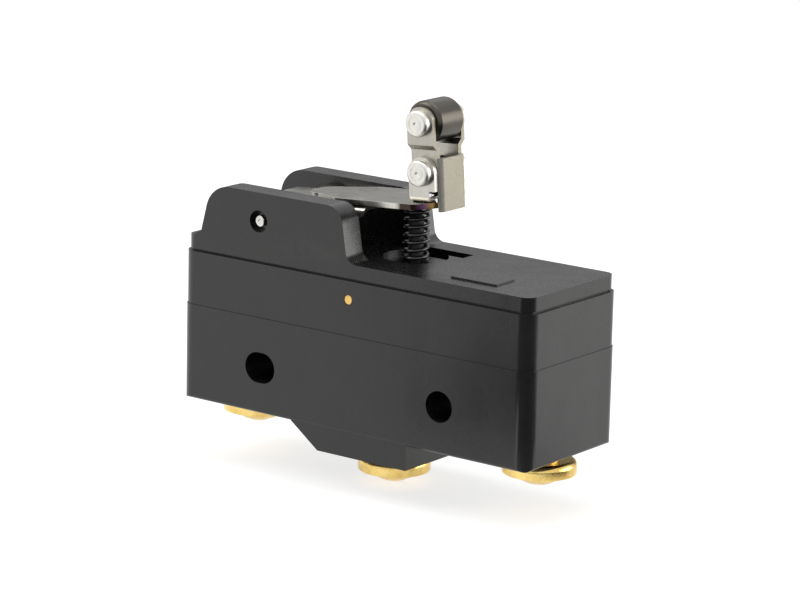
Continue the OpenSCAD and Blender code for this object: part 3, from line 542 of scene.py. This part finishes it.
leaf_steel = rolled_steel("leaf_steel", (0.64, 0.63, 0.59), 0.20, stain=0.35, burnt=True)
channel_steel = rolled_steel("channel_steel", (0.60, 0.59, 0.55), 0.24, stain=0.3)
bracket_steel = rolled_steel("bracket_steel", (0.60, 0.59, 0.54), 0.24, along=(2.6, 2.6, 0.2), stain=0.15)
arm_steel = rolled_steel("arm_steel", (0.50, 0.48, 0.43), 0.28, along=(2.6, 2.6, 0.5), grain_depth=0.006,
                         ground=True)
rivet_steel = rolled_steel("rivet_steel", (0.84, 0.83, 0.78), 0.30, along=(1.0, 0.2, 1.0))
pin_steel = rolled_steel("pin_steel", (0.72, 0.71, 0.68), 0.20, along=(1.0, 0.2, 1.0))
roller_steel = rolled_steel("roller_steel", (0.098, 0.090, 0.077), 0.27, along=(1.0, 0.2, 1.0))
spring_steel = rolled_steel("spring_steel", (0.075, 0.075, 0.08), 0.24, along=(1.0, 1.0, 1.0))
wire_end_steel = rolled_steel("wire_end_steel", (0.80, 0.74, 0.76), 0.16, along=(1.0, 1.0, 1.0))
eased("hinge_channel", 0.08, channel_steel)
eased("lever_leaf", 0.08, leaf_steel)
eased("roller_bracket", 0.08, bracket_steel)
eased("roller_arm", 0.08, arm_steel)
eased("roller", 0.10, roller_steel)

# The lever's own frame: origin on its pin, tilted as it rests
rest_tilt = math.radians(4)
pin_low, pin_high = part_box("lever_pin")
pin_centre = (pin_low + pin_high) / 2
lever_frame = Matrix.Translation(pin_centre) @ Matrix.Rotation(-rest_tilt, 4, "Y")
across = Matrix.Rotation(math.radians(90), 4, "X")

# Lever pin: dimpled ends, each further out than the solid's by pin_reach, in mm
pin_reach = 0.45
pin_r = (pin_high.x - pin_low.x) / 2 / mm
pin_half = (pin_high.y - pin_low.y) / 2 / mm + pin_reach
pin_end = [(-0.16, 0.0), (-0.14, 0.16), (-0.02, 0.26), (0.0, 0.36), (0.0, pin_r - 0.12),
           (-0.04, pin_r - 0.04), (-0.12, pin_r)]
pin_outline = [(-pin_half - h, r) for h, r in pin_end] + [(pin_half + h, r) for h, r in reversed(pin_end)]
stands_for(turned("lever_pin_turned", pin_outline, pin_steel, Matrix.Translation(pin_centre) @ across),
           "lever_pin")

# Riveted ends, in mm: a flat head with a struck ring and a small centre dimple
head_r = 1.5
head_t = 0.85
edge_r = 0.3
shank_r = 0.9
head_end = [(-0.07, 0.0), (-0.065, 0.10), (-0.02, 0.22), (0.0, 0.32), (0.0, 0.70), (-0.02, 0.76),
            (-0.02, 0.82), (0.0, 0.88), (0.0, 1.02)]
for turn in (0, 18, 36, 54, 72, 90):
    a = math.radians(turn)
    head_end.append((edge_r * (math.cos(a) - 1), head_r - edge_r + edge_r * math.sin(a)))
for node in ("arm_rivet", "roller_axle"):
    low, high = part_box(node)
    half = (high.y - low.y) / 2 / mm
    under = half - head_t
    outline = [(-half - h, r) for h, r in head_end]
    outline += [(-under, head_r), (-under, shank_r), (under, shank_r), (under, head_r)]
    outline += [(half + h, r) for h, r in reversed(head_end)]
    place = Matrix.Translation((low + high) / 2) @ across
    stands_for(turned(node + "_headed", outline, rivet_steel, place), node)

# ---------------------------------------------------------------- springs

coiled = coil_recipe("coiled_wire", spring_steel)
low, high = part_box("lever_spring")
wire_r = 0.21 * mm
lean = 0.25 * mm
low_r = (high.y - low.y) / 2
top_r = 1.5 * mm
coil_turns = 7.5
dead_turns = 0.9
dead_pitch = 2.08 * wire_r
spring = coiled.build("lever_coil", Turns=coil_turns, Wire=wire_r, Low=low_r - wire_r, High=top_r - wire_r,
                      Rise=high.z - low.z - 2 * wire_r, Dead=dead_turns, Squeeze=dead_pitch, Lean=lean)
rod_low, rod_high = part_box("plunger")
spring.data.transform(Matrix.Translation(((rod_low.x + rod_high.x) / 2 - lean / 2, 0, low.z + wire_r)))
stands_for(spring, "lever_spring")
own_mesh(spring)

rivet_low, rivet_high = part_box("arm_rivet")
rivet_centre = (rivet_low + rivet_high) / 2
twist_wire = 0.25 * mm
twist_r = shank_r * mm + 0.1 * mm + twist_wire
twist_pitch = 2.12 * twist_wire
twist_turns = 4
arm_coil = coiled.build("arm_coil", Turns=float(twist_turns), Wire=twist_wire, Low=twist_r, High=twist_r,
                        Rise=twist_turns * twist_pitch, Dead=0.0, Squeeze=0.0)
tilted = Matrix.Translation(rivet_centre) @ Matrix.Rotation(-rest_tilt, 4, "Y")
half_coil = twist_turns * twist_pitch / 2
arm_coil.data.transform(tilted @ Matrix.Translation((0, half_coil, 0)) @ across)
stands_for(arm_coil, "arm_spring")
# The arm spring's leg runs down and across to the bracket's ear, where its cut end shows
ear_half = 2.97 * mm
leg_drop = -2.42 * mm
leg_short = 0.12 * mm
leg_bend = 0.6 * mm
end_out = 0.16 * mm
bent = wire_recipe("bent_wire", spring_steel)
leg_line = drawn_line("leg_line", [(twist_r, -half_coil, 0), (twist_r, -half_coil, leg_drop),
                                   (twist_r, leg_short - ear_half, leg_drop)])
leg = bent.build("arm_spring_leg", start=leg_line, Wire=twist_wire, Bend=leg_bend)
leg.data.transform(tilted)
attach(leg, BODY_OF["arm_spring"])
end_outline = [(0.0, 0.0), (0.0, 0.19), (0.05, 0.25), (0.35, 0.25), (0.35, 0.0)]
end_place = tilted @ Matrix.Translation((twist_r, -ear_half - end_out, leg_drop))
end_place = end_place @ Matrix.Rotation(math.radians(-90), 4, "X")
wire_end = turned("arm_spring_end", end_outline, wire_end_steel, end_place, sides=28)
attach(wire_end, BODY_OF["arm_spring"])

# ---------------------------------------------------------------- screw threads

threaded = coil_recipe("screw_thread", screw_brass)
thread_turns = 7
thread_pitch = 0.7 * mm
thread_wire = 0.17 * mm
thread_r = 1.52 * mm
end_gap = 0.3 * mm
for side in ("common", "open", "closed"):
    low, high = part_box(side + "_screw")
    thread = threaded.build(side + "_thread", Turns=float(thread_turns), Steps=28, Sides=4,
                            Wire=thread_wire, Low=thread_r, High=thread_r,
                            Rise=thread_turns * thread_pitch, Dead=0.0, Squeeze=0.0)
    foot = (low.x + high.x) / 2, 0, high.z - end_gap - thread_turns * thread_pitch
    thread.data.transform(Matrix.Translation(foot))
    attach(thread, BODY_OF[side + "_screw"])

# ---------------------------------------------------------------- studio

def studio():
    """White surround, pale floor, soft lamps, two cards and the camera."""
    bpy.context.scene.view_settings.view_transform = "Standard"
    white_surround()
    pale_floor()
    lamp("back_right", place=(0.34, 0.26, 0.10), size=(0.36, 0.24), power=0.95)
    lamp("upper_left", place=(-0.35, -0.30, 0.45), size=(0.40, 0.40), power=1.6)
    lamp("top", place=(0.02, 0.05, 0.55), size=(0.45, 0.45), power=1.2)
    dark_card()
    grey_card()
    camera()


def white_surround():
    """A world that lights the part softly, and that the camera and mirrors see as white."""
    soft_light = 0.5
    seen_light = 1.0
    world = bpy.data.worlds.new("surround")
    bpy.context.scene.world = world
    world.use_nodes = True
    tree = world.node_tree
    tree.nodes.clear()
    out = tree.nodes.new("ShaderNodeOutputWorld")
    mix = tree.nodes.new("ShaderNodeMixShader")
    plain = tree.nodes.new("ShaderNodeBackground")
    white = tree.nodes.new("ShaderNodeBackground")
    plain.inputs["Color"].default_value = (1, 1, 1, 1)
    plain.inputs["Strength"].default_value = soft_light
    white.inputs["Color"].default_value = (1, 1, 1, 1)
    white.inputs["Strength"].default_value = seen_light
    tree.links.new(seen(tree), mix.inputs[0])
    tree.links.new(plain.outputs[0], mix.inputs[1])
    tree.links.new(white.outputs[0], mix.inputs[2])
    tree.links.new(mix.outputs[0], out.inputs["Surface"])


def pale_floor():
    """A matt floor just under the part, lifted towards white where it is looked at."""
    side = 6.0
    drop = 0.0001
    matt_tone = (0.45, 0.45, 0.45, 1)
    lifted = 0.72
    paint = bpy.data.materials.new("pale_floor")
    paint.use_nodes = True
    tree = paint.node_tree
    tree.nodes.clear()
    out = tree.nodes.new("ShaderNodeOutputMaterial")
    both = tree.nodes.new("ShaderNodeAddShader")
    matt = tree.nodes.new("ShaderNodeBsdfDiffuse")
    matt.inputs["Color"].default_value = matt_tone
    glow = tree.nodes.new("ShaderNodeEmission")
    lift = tree.nodes.new("ShaderNodeMath")
    lift.operation = "MULTIPLY"
    lift.inputs[1].default_value = lifted
    tree.links.new(seen(tree), lift.inputs[0])
    tree.links.new(lift.outputs[0], glow.inputs["Strength"])
    tree.links.new(matt.outputs[0], both.inputs[0])
    tree.links.new(glow.outputs[0], both.inputs[1])
    tree.links.new(both.outputs[0], out.inputs["Surface"])
    bpy.ops.mesh.primitive_plane_add(size=side, location=((LOW.x + HIGH.x) / 2, 0, LOW.z - drop))
    floor = bpy.context.object
    floor.name = "floor"
    floor.data.materials.append(paint)


def seen(tree):
    """One for rays that come from the camera, a mirror or through glass."""
    rays = tree.nodes.new("ShaderNodeLightPath")
    first = tree.nodes.new("ShaderNodeMath")
    first.operation = "MAXIMUM"
    second = tree.nodes.new("ShaderNodeMath")
    second.operation = "MAXIMUM"
    tree.links.new(rays.outputs["Is Camera Ray"], first.inputs[0])
    tree.links.new(rays.outputs["Is Glossy Ray"], first.inputs[1])
    tree.links.new(first.outputs[0], second.inputs[0])
    tree.links.new(rays.outputs["Is Transmission Ray"], second.inputs[1])
    return second.outputs[0]


def lamp(name, place, size, power):
    """A soft rectangular lamp that faces the middle of the object."""
    light = bpy.data.lights.new(name, "AREA")
    light.shape = "RECTANGLE"
    light.size = size[0]
    light.size_y = size[1]
    light.energy = power
    light.color = (1.0, 0.985, 0.945)
    holder = bpy.data.objects.new(name, light)
    bpy.context.scene.collection.objects.link(holder)
    holder.location = place
    aim = (LOW + HIGH) / 2 - Vector(place)
    holder.rotation_mode = "QUATERNION"
    holder.rotation_quaternion = aim.to_track_quat("-Z", "Y")


def dark_card():
    """A black card on the floor in front, seen only in mirror reflections."""
    black = bpy.data.materials.new("card_black")
    black.use_nodes = True
    black.node_tree.nodes["Principled BSDF"].inputs["Base Color"].default_value = (0.01, 0.01, 0.01, 1)
    black.node_tree.nodes["Principled BSDF"].inputs["Roughness"].default_value = 0.9
    first = math.radians(-20)
    last = math.radians(112)
    near = 0.040
    far = 0.9
    parts = 24
    above_floor = 0.0002
    shape = bmesh.new()
    middle = Vector(((LOW.x + HIGH.x) / 2, 0, LOW.z + above_floor))
    inner = []
    outer = []
    for step in range(parts + 1):
        turn = first + (last - first) * step / parts
        way = Vector((math.sin(turn), -math.cos(turn), 0))
        inner.append(shape.verts.new(middle + way * near))
        outer.append(shape.verts.new(middle + way * far))
    for step in range(parts):
        shape.faces.new((inner[step], inner[step + 1], outer[step + 1], outer[step]))
    mesh = bpy.data.meshes.new("dark_card")
    shape.to_mesh(mesh)
    shape.free()
    mesh.materials.append(black)
    card = linked("dark_card", mesh)
    card.visible_camera = False
    card.visible_diffuse = False
    card.visible_shadow = False


def grey_card():
    """A grey card low behind the left end, seen only in mirror reflections."""
    grey = bpy.data.materials.new("card_grey")
    grey.use_nodes = True
    shader = grey.node_tree.nodes["Principled BSDF"]
    shader.inputs["Base Color"].default_value = (0.1, 0.1, 0.1, 1)
    shader.inputs["Emission Color"].default_value = (1, 1, 1, 1)
    shader.inputs["Emission Strength"].default_value = 0.14
    mesh = bpy.data.meshes.new("grey_card")
    far = 0.5
    half_length = 0.45
    height = 0.17
    way = Vector((-0.598, 0.802, 0)) * far
    side = Vector((0.802, 0.598, 0)) * half_length
    foot = Vector(((LOW.x + HIGH.x) / 2, 0, LOW.z))
    top = Vector((0, 0, height))
    corners = [foot + way - side, foot + way + side, foot + way + side + top, foot + way - side + top]
    mesh.from_pydata(corners, [], [(0, 1, 2, 3)])
    mesh.materials.append(grey)
    card = linked("grey_card", mesh)
    card.visible_camera = False
    card.visible_diffuse = False
    card.visible_shadow = False


def camera():
    """Three-quarter view from the front right, a little above."""
    turn = math.radians(36.743)
    climb = math.radians(13.414)
    roll = math.radians(1.351)
    place = Vector((0.21228, -0.30064, 0.09806))
    back = Vector((math.sin(turn) * math.cos(climb), -math.cos(turn) * math.cos(climb), math.sin(climb)))
    level = Vector((math.cos(turn), math.sin(turn), 0))
    rise = back.cross(level)
    right = level * math.cos(roll) + rise * math.sin(roll)
    up = rise * math.cos(roll) - level * math.sin(roll)
    eye = bpy.data.cameras.new("camera")
    eye.lens = 153.1
    eye.sensor_width = 36.0
    eye.clip_start = 0.01
    eye.clip_end = 20.0
    holder = bpy.data.objects.new("camera", eye)
    bpy.context.scene.collection.objects.link(holder)
    holder.matrix_world = Matrix((
        (right.x, up.x, back.x, place.x),
        (right.y, up.y, back.y, place.y),
        (right.z, up.z, back.z, place.z),
        (0, 0, 0, 1)))
    bpy.context.scene.camera = holder


studio()

bpy.context.view_layer.update()
